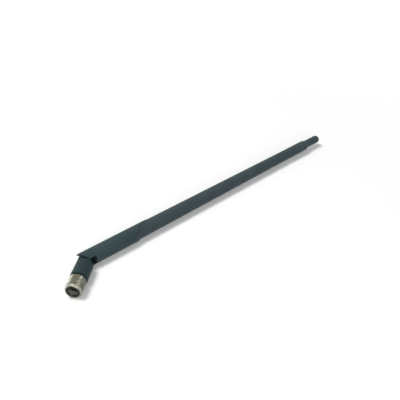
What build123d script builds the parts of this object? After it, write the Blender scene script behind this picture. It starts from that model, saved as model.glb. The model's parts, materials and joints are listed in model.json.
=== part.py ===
from build123d import *
import os
from math import cos, radians, sin, sqrt, tan

# Omnidirectional wifi whip antenna: a coupling nut on a coaxial plug, a knuckle that swivels
# on the plug, and a whip that tilts on the knuckle from straight to a right angle.
# All sizes are millimetres. The origin is the centre of the plug's mating face. +Y runs along
# the plug towards the knuckle, +Z is the tilt axis and the whip leans towards +X.

os.makedirs("parts", exist_ok=True)

# Pose in which the antenna lies
rest_bend = 39.1

# Clearances
running_gap = 0.06
seat_gap = 0.03
face_gap = 0.10
swing_gap = 0.25
end_gap = 0.05
nut_back_gap = 0.6

# Plug body
barrel_radius = 2.3
barrel_length = 2.6
barrel_wall = 0.25
root_step = 0.2
root_length = 0.8
thread_room = 0.56
journal_step = 0.24
journal_depth = 4.4
shank_radius = 1.5
shank_length = 2.7
shank_bore_radius = 0.55
insulator_length = 5.5
insulator_setback = 0.25

# Centre contact
contact_radius = 0.64
contact_bore_radius = 0.46
contact_bore_depth = 2.6
contact_slot_width = 0.14
contact_tail = 1.6
contact_cup_radius = 0.2
contact_cup_depth = 1.2

# Spring rings in the plug body
ring_groove_depth = 0.35
ring_stand_out = 0.5
ring_thickness = 0.55
ring_mouth_degrees = 36.0
nut_ring_setback = 1.6
swivel_ring_setback = 1.7

# Coupling nut
nut_radius = 5.0
nut_length = 10.0
nut_overhang = 3.0
nut_mouth_flare = 0.75
nut_face_chamfer = 0.6
nut_collar_step = 0.2
nut_collar_length = 1.9
nut_back_chamfer = 0.5

# Gasket and crimp ferrule
gasket_thickness = 0.6
ferrule_wall = 0.35
braid_thickness = 0.25

# Knuckle
knuckle_rim_radius = 5.2
knuckle_top_radius = 4.95
knuckle_rim_round = 0.6
knuckle_height = 11.3
shoulder_round = 0.3
ferrule_room = 0.2
tongue_thickness = 5.8
tongue_top_gap = 0.2
eye_radius = 2.8
boss_radius = 1.8
boss_height = 0.9
boss_end_gap = 0.2

# Hinge housing at the foot of the whip
fork_reach = 6.2
heel_reach = 0.9
fork_radius = 5.0
fork_shift = 0.1
fork_round = 0.6
slot_floor_gap = 0.4
housing_end_radius = 4.9
housing_end_shift = 0.3
housing_wall = 0.65
neck_length = 16.5
socket_depth = 20.0
seam_slope = 60.0
seam_step = 0.45
seam_round = 0.3

# Lead
lead_radius = 0.9
lead_room = 0.25
lead_bend_radius = 6.0
lead_braid_radius = 0.7
lead_dielectric_radius = 0.43
lead_core_radius = 0.155
lead_braid_length = 4.0
lead_dielectric_length = 2.6
lead_core_length = 1.0

# Sleeve radiator, which is the dipole's lower half
sleeve_lead_in = 8.0
sleeve_length = 28.0
sleeve_wall = 0.3
sleeve_room = 0.4
bush_flange = 1.0
bush_plug = 2.0
solder_height = 1.2
solder_spread = 0.85

# Radiator wire with its folded phasing section, on a card
wire_radius = 0.4
wire_setback = 4.3
lower_arm = 25.7
fold_pitch = 2.4
fold_count = 6
fold_room = 0.75
fold_radius = 0.7
fold_thickness = 0.5
upper_arm = 58.0
card_thickness = 0.6
card_gap = 0.05
card_side_room = 0.2
feed_solder_radius = 0.75
shrink_gap = 0.2
shrink_wall = 0.2
shrink_length = 6.6

# Spacers and cushion that hold the wire in the sheath
spacer_thickness = 1.2
spacer_hub_length = 3.0
spacer_hub_wall = 0.6
spacer_hole_radius = 0.42
spacer_hole_count = 3
spacer_gap = 0.1
cushion_overlap = 2.0
cushion_length = 10.0

# Radome sheath
spigot_wall = 0.95
sheath_wall = 1.0
sheath_tip_radius = 3.52
tip_overrun = 5.0
tip_cylinder_length = 18.0
tip_shoulder_length = 4.0
nub_radius = 2.72
nub_length = 13.2
nub_roof = 3.5

# Radii and stations along the plug, from the mating face
thread_radius = barrel_radius + thread_room
journal_radius = thread_radius + journal_step
root_radius = barrel_radius + root_step
root_end = barrel_length + root_length
ring_groove_radius = journal_radius - ring_groove_depth
ring_outer_radius = journal_radius + ring_stand_out
nut_mouth = -nut_overhang
nut_back = nut_mouth + nut_length
nut_bore_radius = journal_radius + running_gap
ring_room_radius = ring_outer_radius + face_gap
nut_ring_station = root_end + nut_ring_setback
rim_station = nut_back + nut_back_gap
swivel_ring_station = rim_station + swivel_ring_setback
journal_end = rim_station + journal_depth
shank_end = journal_end + shank_length
pivot_station = rim_station + knuckle_height + fork_reach + swing_gap
shoulder_station = pivot_station - fork_reach - swing_gap
shoulder_top = pivot_station - fork_radius - fork_shift - swing_gap
tongue_top = pivot_station - tongue_top_gap
ferrule_radius = shank_radius + braid_thickness + seat_gap + ferrule_wall
tongue_half = tongue_thickness / 2
slot_half = tongue_half + face_gap
lead_passage_radius = lead_radius + lead_room

# Radii and stations along the whip, from the tilt axis
slot_floor_radius = eye_radius + slot_floor_gap
slot_reach = fork_reach + face_gap
socket_start = slot_floor_radius + neck_length
seam_station = socket_start + socket_depth
spigot_radius = housing_end_radius - housing_end_shift - housing_wall
spigot_bore_radius = spigot_radius - spigot_wall
sheath_base_radius = housing_end_radius - seam_step
sleeve_start = seam_station - sleeve_lead_in
sleeve_end = sleeve_start + sleeve_length
wire_start = sleeve_end + wire_setback
folds_start = wire_start + lower_arm
folds_end = folds_start + fold_count * fold_pitch
wire_end = folds_end + upper_arm
taper_end = wire_end + tip_overrun
tip_cylinder_end = taper_end + tip_cylinder_length
nub_start = tip_cylinder_end + tip_shoulder_length
whip_end = nub_start + nub_length
tip_bore_radius = sheath_tip_radius - sheath_wall

# Frames: the whip's own plane has X on the inner side of the bend and Y along the whip
pivot = Vector(0, pivot_station, 0)
bend = radians(rest_bend)
inner_side = Vector(cos(bend), -sin(bend), 0)
whip_direction = Vector(sin(bend), cos(bend), 0)
whip_plane = Plane(origin=pivot, x_dir=inner_side, z_dir=(0, 0, 1))
whip_axis = Axis(pivot, whip_direction)


def whip_point(across, along):
    """Point in the whip's plane, across to its inner side and along from the tilt axis."""
    return pivot + inner_side * across + whip_direction * along


def whip_station(distance):
    """Plane square to the whip at a distance from the tilt axis."""
    return Plane(origin=pivot + whip_direction * distance, x_dir=inner_side, z_dir=whip_direction)


def sheath_bore(distance):
    """Radius of the sheath's tapered bore at a distance from the tilt axis."""
    share = (distance - socket_start) / (taper_end - socket_start)
    return spigot_bore_radius + (tip_bore_radius - spigot_bore_radius) * share


def seam_plane(gap):
    """Slanted plane in which the housing ends on the sheath, moved towards the tip by a gap."""
    slope = radians(seam_slope)
    normal = inner_side * sin(slope) + whip_direction * cos(slope)
    return Plane(origin=pivot + whip_direction * seam_station + normal * gap, z_dir=normal)


# Turned plug body: barrel, root, journal with two ring grooves, and crimp shank
swivel_groove_top = swivel_ring_station + ring_thickness + end_gap
with BuildPart() as connector_body:
    with BuildSketch(Plane.XY):
        with BuildLine():
            Polyline(
                (barrel_radius - barrel_wall, 0),
                (barrel_radius, 0),
                (barrel_radius, barrel_length),
                (root_radius, barrel_length),
                (root_radius, root_end),
                (journal_radius, root_end),
                (journal_radius, journal_end),
                (shank_radius, journal_end),
                (shank_radius, shank_end),
                (shank_bore_radius, shank_end),
                (shank_bore_radius, insulator_length),
                (barrel_radius - barrel_wall, insulator_length),
                close=True,
            )
        make_face()
    revolve(axis=Axis.Y)
    with BuildSketch(Plane.XY):
        for station in (nut_ring_station, swivel_ring_station):
            with Locations((ring_groove_radius, station - end_gap)):
                Rectangle(
                    ring_groove_depth + ring_stand_out,
                    ring_thickness + 2 * end_gap,
                    align=(Align.MIN, Align.MIN),
                )
    revolve(axis=Axis.Y, mode=Mode.SUBTRACT)
connector_body.part.label = "connector_body"
export_step(connector_body.part, "parts/connector_body.step")

# Insulator that fills the barrel behind the mating face
with BuildPart() as contact_insulator:
    with BuildSketch(Plane.XY):
        with Locations((contact_radius + seat_gap, insulator_setback)):
            Rectangle(
                barrel_radius - barrel_wall - contact_radius - 2 * seat_gap,
                insulator_length - insulator_setback - seat_gap,
                align=(Align.MIN, Align.MIN),
            )
    revolve(axis=Axis.Y)
contact_insulator.part.label = "contact_insulator"
export_step(contact_insulator.part, "parts/contact_insulator.step")

# Slotted socket contact, with a cup behind it for the lead's core
contact_start = insulator_setback / 2
contact_end = insulator_length - seat_gap
cup_start = contact_end + contact_tail - contact_cup_depth
tail_radius = shank_bore_radius - seat_gap
with BuildPart() as centre_contact:
    with BuildSketch(Plane.XY):
        with BuildLine():
            Polyline(
                (contact_bore_radius, contact_start),
                (contact_radius, contact_start),
                (contact_radius, contact_end),
                (tail_radius, contact_end),
                (tail_radius, contact_end + contact_tail),
                (contact_cup_radius, contact_end + contact_tail),
                (contact_cup_radius, cup_start),
                (0, cup_start),
                (0, contact_start + contact_bore_depth),
                (contact_bore_radius, contact_start + contact_bore_depth),
                close=True,
            )
        make_face()
    revolve(axis=Axis.Y)
    with BuildSketch(Plane.XZ.offset(-contact_start)):
        Rectangle(4 * contact_radius, contact_slot_width)
        Rectangle(contact_slot_width, 4 * contact_radius)
    extrude(amount=-(contact_bore_depth - contact_slot_width), mode=Mode.SUBTRACT)
centre_contact.part.label = "centre_contact"
export_step(centre_contact.part, "parts/centre_contact.step")


def spring_ring(station):
    """Open ring that sits in a groove of the plug body."""
    with BuildPart() as ring:
        with BuildSketch(Plane.XY):
            with Locations((ring_groove_radius + seat_gap, station)):
                Rectangle(
                    ring_outer_radius - ring_groove_radius - seat_gap,
                    ring_thickness,
                    align=(Align.MIN, Align.MIN),
                )
        revolve(axis=Axis.Y, revolution_arc=360 - ring_mouth_degrees)
    return ring.part


# Two spring rings: one holds the nut on the plug, the other holds the plug in the knuckle
for ring_name, ring_station in (
    ("nut_retaining_ring", nut_ring_station),
    ("swivel_ring", swivel_ring_station),
):
    ring_part = spring_ring(ring_station)
    ring_part.label = ring_name
    export_step(ring_part, f"parts/{ring_name}.step")

# Gasket round the barrel's root, inside the nut
with BuildPart() as sealing_gasket:
    with BuildSketch(Plane.XY):
        with Locations((root_radius + seat_gap, root_end - seat_gap - gasket_thickness)):
            Rectangle(
                thread_radius - root_radius - seat_gap - running_gap,
                gasket_thickness,
                align=(Align.MIN, Align.MIN),
            )
    revolve(axis=Axis.Y)
sealing_gasket.part.label = "sealing_gasket"
export_step(sealing_gasket.part, "parts/sealing_gasket.step")

# Coupling nut: flared mouth, thread bore, smooth front collar, knurled band and ring groove
nut_collar_radius = nut_radius - nut_collar_step
collar_end = nut_mouth + nut_collar_length
thread_end = root_end + end_gap
nut_groove_start = nut_ring_station - face_gap
nut_groove_end = nut_ring_station + ring_thickness + face_gap
with BuildPart() as coupling_nut:
    with BuildSketch(Plane.XY):
        with BuildLine():
            Polyline(
                (thread_radius + nut_mouth_flare, nut_mouth),
                (nut_collar_radius - nut_face_chamfer, nut_mouth),
                (nut_collar_radius, nut_mouth + nut_face_chamfer),
                (nut_collar_radius, collar_end - nut_collar_step),
                (nut_radius, collar_end),
                (nut_radius, nut_back - nut_back_chamfer),
                (nut_radius - nut_back_chamfer, nut_back),
                (nut_bore_radius, nut_back),
                (nut_bore_radius, nut_groove_end),
                (ring_room_radius, nut_groove_end),
                (ring_room_radius, nut_groove_start),
                (nut_bore_radius, nut_groove_start),
                (nut_bore_radius, root_end - end_gap),
                (thread_radius, root_end - end_gap),
                (thread_radius, nut_mouth + nut_mouth_flare),
                close=True,
            )
        make_face()
    revolve(axis=Axis.Y)
coupling_nut.part.label = "coupling_nut"
export_step(coupling_nut.part, "parts/coupling_nut.step")

# Ferrule crimped over the lead's braid on the shank
ferrule_bore_radius = ferrule_radius - ferrule_wall
with BuildPart() as crimp_ferrule:
    with BuildSketch(Plane.XY):
        with Locations((ferrule_bore_radius, journal_end + seat_gap)):
            Rectangle(ferrule_wall, shank_length, align=(Align.MIN, Align.MIN))
    revolve(axis=Axis.Y)
    chamfer(crimp_ferrule.edges().sort_by(Axis.Y)[-1], ferrule_wall / 3)
crimp_ferrule.part.label = "crimp_ferrule"
export_step(crimp_ferrule.part, "parts/crimp_ferrule.step")

# Braid of the lead, spread over the shank under the ferrule
with BuildPart() as crimped_braid:
    with BuildSketch(Plane.XY):
        with Locations((shank_radius + seat_gap / 2, journal_end + 2 * seat_gap)):
            Rectangle(braid_thickness, shank_length - seat_gap, align=(Align.MIN, Align.MIN))
    revolve(axis=Axis.Y)
crimped_braid.part.label = "crimped_braid"
export_step(crimped_braid.part, "parts/crimped_braid.step")

# Blank of the knuckle's round body, as high as its tongue
with BuildPart() as knuckle_blank:
    with BuildSketch(Plane.XY):
        with BuildLine():
            Polyline(
                (knuckle_rim_radius - knuckle_rim_round, rim_station),
                (0, rim_station),
                (0, tongue_top),
                (knuckle_top_radius, tongue_top),
                (knuckle_rim_radius, rim_station + knuckle_rim_round),
            )
            RadiusArc(
                (knuckle_rim_radius, rim_station + knuckle_rim_round),
                (knuckle_rim_radius - knuckle_rim_round, rim_station),
                knuckle_rim_round,
            )
        make_face()
    revolve(axis=Axis.Y)

# Tongue, as wide as the body on the outer side and as the eye on the inner side
with BuildPart() as tongue:
    with BuildSketch(Plane.XY):
        with Locations((eye_radius, tongue_top)):
            Rectangle(4 * eye_radius, knuckle_height, align=(Align.MAX, Align.MAX))
    extrude(amount=tongue_half, both=True)
    add(knuckle_blank.part, mode=Mode.INTERSECT)

# Moulded knuckle: round body with a slanted shoulder, the tongue, its eye and two bosses
ferrule_room_radius = ferrule_radius + ferrule_room
ferrule_room_end = shank_end + ferrule_room
shoulder_plane = Plane(
    origin=(-knuckle_top_radius, shoulder_station, 0),
    z_dir=(shoulder_station - shoulder_top, 2 * knuckle_top_radius, 0),
)
knuckle_bore_radius = journal_radius + running_gap
swivel_groove_start = swivel_ring_station - face_gap
swivel_groove_end = swivel_ring_station + ring_thickness + face_gap
with BuildPart() as knuckle:
    add(knuckle_blank.part)
    split(bisect_by=shoulder_plane, keep=Keep.BOTTOM)
    fillet(knuckle.faces().sort_by(Axis.Y)[-1].edges(), shoulder_round)
    add(tongue.part)
    with BuildSketch(Plane.XY):
        with Locations((0, pivot_station)):
            Circle(eye_radius)
    extrude(amount=tongue_half, both=True)
    with BuildSketch(Plane.XY):
        with Locations((0, pivot_station)):
            Circle(boss_radius)
    extrude(amount=tongue_half + boss_height, both=True)
    with BuildSketch(Plane.XY):
        with BuildLine():
            Polyline(
                (0, rim_station),
                (knuckle_bore_radius, rim_station),
                (knuckle_bore_radius, swivel_groove_start),
                (ring_room_radius, swivel_groove_start),
                (ring_room_radius, swivel_groove_end),
                (knuckle_bore_radius, swivel_groove_end),
                (knuckle_bore_radius, journal_end + face_gap),
                (ferrule_room_radius, journal_end + face_gap),
                (ferrule_room_radius, ferrule_room_end),
                (lead_passage_radius, ferrule_room_end),
                (lead_passage_radius, pivot_station),
                (0, pivot_station),
                close=True,
            )
        make_face()
    revolve(axis=Axis.Y, mode=Mode.SUBTRACT)
    # Fan in which the lead follows the whip, from straight to a right angle
    with BuildSketch(Plane.XY):
        with Locations((-lead_passage_radius, pivot_station - lead_passage_radius)):
            Rectangle(2 * eye_radius, 2 * eye_radius, align=(Align.MIN, Align.MIN))
    extrude(amount=lead_passage_radius, both=True, mode=Mode.SUBTRACT)
knuckle.part.label = "knuckle"
export_step(knuckle.part, "parts/knuckle.step")

# Hinge housing: a fork over the tongue, a neck for the lead and a socket for the sheath
seam_reach = housing_end_radius * tan(radians(seam_slope)) + end_gap
housing_foot = whip_point(fork_shift, -fork_reach - housing_wall)
housing_head = whip_point(housing_end_shift, seam_station + seam_reach)
fork_rise = fork_reach - heel_reach
fork_plane = Plane(
    origin=whip_point(fork_shift - fork_radius, -fork_reach),
    z_dir=whip_direction * 2 * fork_radius - inner_side * fork_rise,
)
with BuildPart() as hinge_housing:
    with Locations(Plane(origin=housing_foot, z_dir=housing_head - housing_foot)):
        Cone(
            fork_radius,
            housing_end_radius,
            (housing_head - housing_foot).length,
            align=(Align.CENTER, Align.CENTER, Align.MIN),
        )
    split(bisect_by=fork_plane, keep=Keep.TOP)
    split(bisect_by=seam_plane(0), keep=Keep.BOTTOM)
    fillet(hinge_housing.faces().sort_by(whip_axis)[-1].edges(), seam_round)
    fillet(hinge_housing.faces().sort_by(whip_axis)[0].edges(), fork_round)
    # Slot for the tongue, deeper on the inner side so that it can lie across the whip
    with BuildSketch(whip_plane):
        with Locations((0, -slot_reach)):
            Rectangle(4 * fork_radius, slot_reach, align=(Align.CENTER, Align.MIN))
            Rectangle(
                2 * fork_radius, slot_reach + slot_floor_radius, align=(Align.MIN, Align.MIN)
            )
        Circle(slot_floor_radius)
    extrude(amount=slot_half, both=True, mode=Mode.SUBTRACT)
    # Blind sockets for the knuckle's bosses
    with BuildSketch(whip_plane):
        Circle(boss_radius + running_gap)
    extrude(amount=tongue_half + boss_height + boss_end_gap, both=True, mode=Mode.SUBTRACT)
    with BuildSketch(whip_plane):
        with BuildLine():
            Polyline(
                (0, 0),
                (lead_passage_radius, 0),
                (lead_passage_radius, socket_start),
                (spigot_radius + seat_gap, socket_start),
                (spigot_radius + seat_gap, seam_station + seam_reach),
                (0, seam_station + seam_reach),
                close=True,
            )
        make_face()
    revolve(axis=whip_axis, mode=Mode.SUBTRACT)
hinge_housing.part.label = "hinge_housing"
export_step(hinge_housing.part, "parts/hinge_housing.step")

# Everything outside the spigot and below the seam, taken off the sheath
with BuildPart() as spigot_relief:
    with BuildSketch(whip_plane):
        with Locations((spigot_radius, 0)):
            Rectangle(fork_radius, seam_station + seam_reach, align=(Align.MIN, Align.MIN))
    revolve(axis=whip_axis)
    split(bisect_by=seam_plane(seat_gap), keep=Keep.BOTTOM)

# Radome sheath: spigot, long taper, shouldered tip and closed nub, in one moulding
spigot_start = socket_start + seat_gap
taper_slope = (sheath_base_radius - sheath_tip_radius) / (taper_end - seam_station)
spigot_outline_radius = sheath_base_radius + taper_slope * (seam_station - spigot_start)
with BuildPart() as radome_sheath:
    with BuildSketch(whip_plane):
        with BuildLine():
            Polyline(
                (0, whip_end - nub_roof),
                (nub_radius - sheath_wall, whip_end - nub_roof),
                (nub_radius - sheath_wall, tip_cylinder_end),
                (tip_bore_radius, tip_cylinder_end - end_gap),
                (tip_bore_radius, taper_end),
                (spigot_bore_radius, socket_start + seat_gap),
                (spigot_outline_radius, spigot_start),
                (sheath_tip_radius, taper_end),
                (sheath_tip_radius, tip_cylinder_end),
            )
            TangentArc((sheath_tip_radius, tip_cylinder_end), (nub_radius, nub_start), tangent=(0, 1))
            Line((nub_radius, nub_start), (nub_radius, whip_end - nub_radius))
            RadiusArc((nub_radius, whip_end - nub_radius), (0, whip_end), -nub_radius)
            Line((0, whip_end), (0, whip_end - nub_roof))
        make_face()
    revolve(axis=whip_axis)
    add(spigot_relief.part, mode=Mode.SUBTRACT)
radome_sheath.part.label = "radome_sheath"
export_step(radome_sheath.part, "parts/radome_sheath.step")

# Coaxial lead: its jacket runs from the ferrule, through the tongue, to the sleeve's cap
jacket_end = sleeve_end - lead_braid_length
jacket_start = shank_end + seat_gap
braid_end = sleeve_end + solder_height
dielectric_end = braid_end + lead_dielectric_length - solder_height
core_end = dielectric_end + lead_core_length
with BuildPart() as coax_lead:
    with BuildLine() as lead_route:
        FilletPolyline(
            (0, jacket_start, 0),
            pivot,
            pivot + whip_direction * jacket_end,
            radius=lead_bend_radius,
        )
    with BuildSketch(Plane(origin=lead_route.line @ 0, z_dir=lead_route.line % 0)):
        Circle(lead_radius)
    sweep(path=lead_route)
    with BuildSketch(Plane.XY):
        with Locations((0, contact_end + contact_tail + seat_gap)):
            Rectangle(
                lead_dielectric_radius,
                jacket_start - contact_end - contact_tail,
                align=(Align.MIN, Align.MIN),
            )
        with Locations((0, cup_start + seat_gap)):
            Rectangle(lead_core_radius, jacket_start - cup_start, align=(Align.MIN, Align.MIN))
    revolve(axis=Axis.Y)
    with BuildSketch(whip_plane):
        with Locations((0, jacket_end - end_gap)):
            Rectangle(lead_braid_radius, braid_end - jacket_end + end_gap, align=(Align.MIN, Align.MIN))
            Rectangle(
                lead_dielectric_radius,
                dielectric_end - jacket_end + end_gap,
                align=(Align.MIN, Align.MIN),
            )
            Rectangle(
                lead_core_radius,
                core_end - jacket_end + end_gap,
                align=(Align.MIN, Align.MIN),
            )
    revolve(axis=whip_axis)
coax_lead.part.label = "coax_lead"
export_step(coax_lead.part, "parts/coax_lead.step")

# Sleeve radiator: a brass tube with a cap at the feed, open towards the hinge
sleeve_radius = sheath_bore(sleeve_end) - sleeve_room
cap_hole_radius = lead_braid_radius + seat_gap
with BuildPart() as sleeve_radiator:
    with BuildSketch(whip_plane):
        with BuildLine():
            Polyline(
                (sleeve_radius - sleeve_wall, sleeve_start),
                (sleeve_radius, sleeve_start),
                (sleeve_radius, sleeve_end),
                (cap_hole_radius, sleeve_end),
                (cap_hole_radius, sleeve_end - sleeve_wall),
                (sleeve_radius - sleeve_wall, sleeve_end - sleeve_wall),
                close=True,
            )
        make_face()
    revolve(axis=whip_axis)
sleeve_radiator.part.label = "sleeve_radiator"
export_step(sleeve_radiator.part, "parts/sleeve_radiator.step")

# Flanged bush that centres the sleeve's open end in the sheath and on the lead
with BuildPart() as sleeve_bush:
    with BuildSketch(whip_plane):
        with BuildLine():
            Polyline(
                (lead_radius + seat_gap, sleeve_start - bush_flange - seat_gap),
                (sheath_bore(sleeve_start) - spacer_gap, sleeve_start - bush_flange - seat_gap),
                (sheath_bore(sleeve_start) - spacer_gap, sleeve_start - seat_gap),
                (sleeve_radius - sleeve_wall - seat_gap, sleeve_start - seat_gap),
                (sleeve_radius - sleeve_wall - seat_gap, sleeve_start + bush_plug),
                (lead_radius + seat_gap, sleeve_start + bush_plug),
                close=True,
            )
        make_face()
    revolve(axis=whip_axis)
sleeve_bush.part.label = "sleeve_bush"
export_step(sleeve_bush.part, "parts/sleeve_bush.step")

# Solder that joins the lead's braid to the sleeve's cap
with BuildPart() as braid_solder:
    with BuildSketch(whip_plane):
        with BuildLine():
            Polyline(
                (cap_hole_radius, sleeve_end + solder_height),
                (cap_hole_radius, sleeve_end + seat_gap),
                (cap_hole_radius + solder_spread, sleeve_end + seat_gap),
            )
            RadiusArc(
                (cap_hole_radius + solder_spread, sleeve_end + seat_gap),
                (cap_hole_radius, sleeve_end + solder_height),
                2 * solder_height,
            )
        make_face()
    revolve(axis=whip_axis)
braid_solder.part.label = "braid_solder"
export_step(braid_solder.part, "parts/braid_solder.step")

# Radiator wire: lower arm, a phasing section folded from side to side and pressed flat, and upper arm
fold_width = sheath_bore(folds_end) - fold_room - wire_radius
fold_corners = [(0, folds_start - 2 * fold_radius), (0, folds_start)]
for fold in range(fold_count):
    fold_side = fold_width if fold % 2 == 0 else -fold_width
    fold_station = folds_start + fold * fold_pitch
    fold_corners += [(fold_side, fold_station), (fold_side, fold_station + fold_pitch)]
fold_corners += [(0, folds_end), (0, folds_end + 2 * fold_radius)]
with BuildPart() as radiator_wire:
    with BuildSketch(whip_plane):
        with Locations((0, wire_start)):
            Rectangle(wire_radius, lower_arm, align=(Align.MIN, Align.MIN))
        with Locations((0, folds_end)):
            Rectangle(wire_radius, upper_arm, align=(Align.MIN, Align.MIN))
    revolve(axis=whip_axis)
    with BuildSketch(whip_plane):
        with BuildLine():
            FilletPolyline(*fold_corners, radius=fold_radius)
        trace(line_width=2 * wire_radius)
    extrude(amount=fold_thickness / 2, both=True)
radiator_wire.part.label = "radiator_wire"
export_step(radiator_wire.part, "parts/radiator_wire.step")

# Plastic card that carries the folds
card_foot = fold_thickness / 2 + card_gap
card_half_width = sqrt((sheath_bore(folds_end) - card_side_room) ** 2 - (card_foot + card_thickness) ** 2)
with BuildPart() as phasing_card:
    with BuildSketch(whip_plane.offset(card_foot)):
        with Locations((0, (folds_start + folds_end) / 2)):
            Rectangle(2 * card_half_width, folds_end - folds_start - 2 * card_gap)
    extrude(amount=card_thickness)
phasing_card.part.label = "phasing_card"
export_step(phasing_card.part, "parts/phasing_card.step")

# Solder that joins the lead's core to the radiator wire
core_room = lead_core_radius + seat_gap
wire_room = wire_radius + seat_gap
feed_solder_start = dielectric_end + seat_gap
core_pocket_end = (core_end + wire_start) / 2
feed_solder_end = wire_start + 2 * wire_radius
with BuildPart() as feed_solder:
    with BuildSketch(whip_plane):
        with BuildLine():
            Polyline(
                (core_room, feed_solder_start),
                (lead_dielectric_radius, feed_solder_start),
                (feed_solder_radius, core_pocket_end),
                (wire_room + seat_gap, feed_solder_end),
                (wire_room, feed_solder_end),
                (wire_room, wire_start - seat_gap),
                (0, wire_start - seat_gap),
                (0, core_end + seat_gap),
                (core_room, core_end + seat_gap),
                close=True,
            )
        make_face()
    revolve(axis=whip_axis)
feed_solder.part.label = "feed_solder"
export_step(feed_solder.part, "parts/feed_solder.step")

# Shrink tube over the feed
shrink_bore = feed_solder_radius + shrink_gap
with BuildPart() as feed_shrink:
    with BuildSketch(whip_plane):
        with Locations((shrink_bore, braid_end + seat_gap)):
            Rectangle(shrink_wall, shrink_length, align=(Align.MIN, Align.MIN))
    revolve(axis=whip_axis)
feed_shrink.part.label = "feed_shrink"
export_step(feed_shrink.part, "parts/feed_shrink.step")


def wire_spacer(station):
    """Pierced disc with a hub, which centres the radiator wire in the sheath."""
    disc_radius = sheath_bore(station + spacer_thickness) - spacer_gap
    hub_radius = wire_room + spacer_hub_wall
    with BuildPart() as spacer:
        with BuildSketch(whip_station(station)):
            Circle(disc_radius)
            with PolarLocations((disc_radius + hub_radius) / 2, spacer_hole_count):
                Circle(spacer_hole_radius, mode=Mode.SUBTRACT)
        extrude(amount=spacer_thickness)
        with BuildSketch(whip_station(station)):
            Circle(hub_radius)
        extrude(amount=spacer_hub_length)
        with BuildSketch(whip_station(station)):
            Circle(wire_room)
        extrude(amount=spacer_hub_length, mode=Mode.SUBTRACT)
    return spacer.part


# Three spacers: one halfway up the lower arm, two that part the upper arm in thirds
for spacer_name, spacer_station in (
    ("wire_spacer_lower", wire_start + lower_arm / 2),
    ("wire_spacer_middle", folds_end + upper_arm / 3),
    ("wire_spacer_upper", folds_end + 2 * upper_arm / 3),
):
    spacer_part = wire_spacer(spacer_station)
    spacer_part.label = spacer_name
    export_step(spacer_part, f"parts/{spacer_name}.step")

# Foam cushion that holds the wire's end in the tip
cushion_start = wire_end - cushion_overlap
cushion_radius = sheath_bore(taper_end) - spacer_gap
with BuildPart() as tip_cushion:
    with BuildSketch(whip_plane):
        with BuildLine():
            Polyline(
                (wire_room, cushion_start),
                (cushion_radius, cushion_start),
                (cushion_radius, cushion_start + cushion_length),
                (0, cushion_start + cushion_length),
                (0, wire_end + seat_gap),
                (wire_room, wire_end + seat_gap),
                close=True,
            )
        make_face()
    revolve(axis=whip_axis)
tip_cushion.part.label = "tip_cushion"
export_step(tip_cushion.part, "parts/tip_cushion.step")
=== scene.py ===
"""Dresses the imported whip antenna: finishes for its solids, detailed pieces, stage, lamps and camera."""

import json
import logging
import math
from collections.abc import Callable, Iterable, Sequence
from dataclasses import dataclass
from enum import Enum
from typing import ClassVar

import bmesh
import bpy
from mathutils import Matrix, Vector


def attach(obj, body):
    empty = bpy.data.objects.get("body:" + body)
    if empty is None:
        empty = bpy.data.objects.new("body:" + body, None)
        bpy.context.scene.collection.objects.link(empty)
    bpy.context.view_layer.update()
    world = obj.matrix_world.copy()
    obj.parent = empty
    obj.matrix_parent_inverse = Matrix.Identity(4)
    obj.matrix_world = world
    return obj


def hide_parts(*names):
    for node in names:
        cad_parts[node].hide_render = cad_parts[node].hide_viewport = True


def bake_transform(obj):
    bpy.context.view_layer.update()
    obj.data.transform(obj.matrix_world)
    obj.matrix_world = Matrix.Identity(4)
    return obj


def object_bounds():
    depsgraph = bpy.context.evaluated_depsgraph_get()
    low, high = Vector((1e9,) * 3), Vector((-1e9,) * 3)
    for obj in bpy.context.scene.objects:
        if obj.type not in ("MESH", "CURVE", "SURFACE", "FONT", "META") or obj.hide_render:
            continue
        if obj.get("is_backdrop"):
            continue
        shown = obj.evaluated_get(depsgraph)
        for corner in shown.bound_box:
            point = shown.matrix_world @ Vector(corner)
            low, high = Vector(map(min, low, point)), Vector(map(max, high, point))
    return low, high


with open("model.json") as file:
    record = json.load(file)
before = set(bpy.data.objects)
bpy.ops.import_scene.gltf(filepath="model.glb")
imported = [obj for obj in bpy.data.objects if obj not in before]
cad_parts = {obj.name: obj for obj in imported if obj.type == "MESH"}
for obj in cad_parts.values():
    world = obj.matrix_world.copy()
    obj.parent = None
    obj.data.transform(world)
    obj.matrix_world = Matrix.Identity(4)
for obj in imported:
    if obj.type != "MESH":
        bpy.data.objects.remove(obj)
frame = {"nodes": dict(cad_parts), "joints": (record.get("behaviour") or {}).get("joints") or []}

LOG = logging.getLogger("whip_antenna")
MM = 0.001
Triple = tuple[float, float, float]
Span = tuple[float, float]
Colour = Triple

# Turned pieces: the angle in degrees above which an edge stays crisp, and the share of a side that
# a corner's rounding may take up
CREASE = 28.0
EASE_SHARE = 0.45

# Takes a shape made along Z to the +Y of the plug or of the whip
ALONG_Y = Matrix.Rotation(math.radians(-90), 4, "X")


class Body(Enum):
    """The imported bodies, by the names that the frame gives them."""

    CONNECTOR = "connector"
    COUPLING = "coupling"
    KNUCKLE = "knuckle"
    WHIP = "whip"


class Hand(Enum):
    """Which way a helix turns."""

    RIGHT = False
    LEFT = True


def pick(sockets: Sequence[bpy.types.NodeSocket], key: str | int) -> bpy.types.NodeSocket | None:
    """Finds a socket.

    Args:
        sockets: a node's inputs or its outputs.
        key: the socket's number, identifier or name.

    Returns:
        The socket, or none if the node has no such sockets at all.
    """
    for socket in sockets:
        if socket.identifier == key:
            return socket
    return sockets[key] if sockets else None


def arithmetic(operation: str) -> Callable[..., "Signal"]:
    """Makes a method of Signal that adds a Math node.

    Args:
        operation: what the node does.

    Returns:
        The method, which takes the operation's other values.
    """

    def method(self: "Signal", *others: "Signal | float") -> "Signal":
        """Adds the Math node and returns its result."""
        return self.bench.math(operation, self, *others)

    return method


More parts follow.
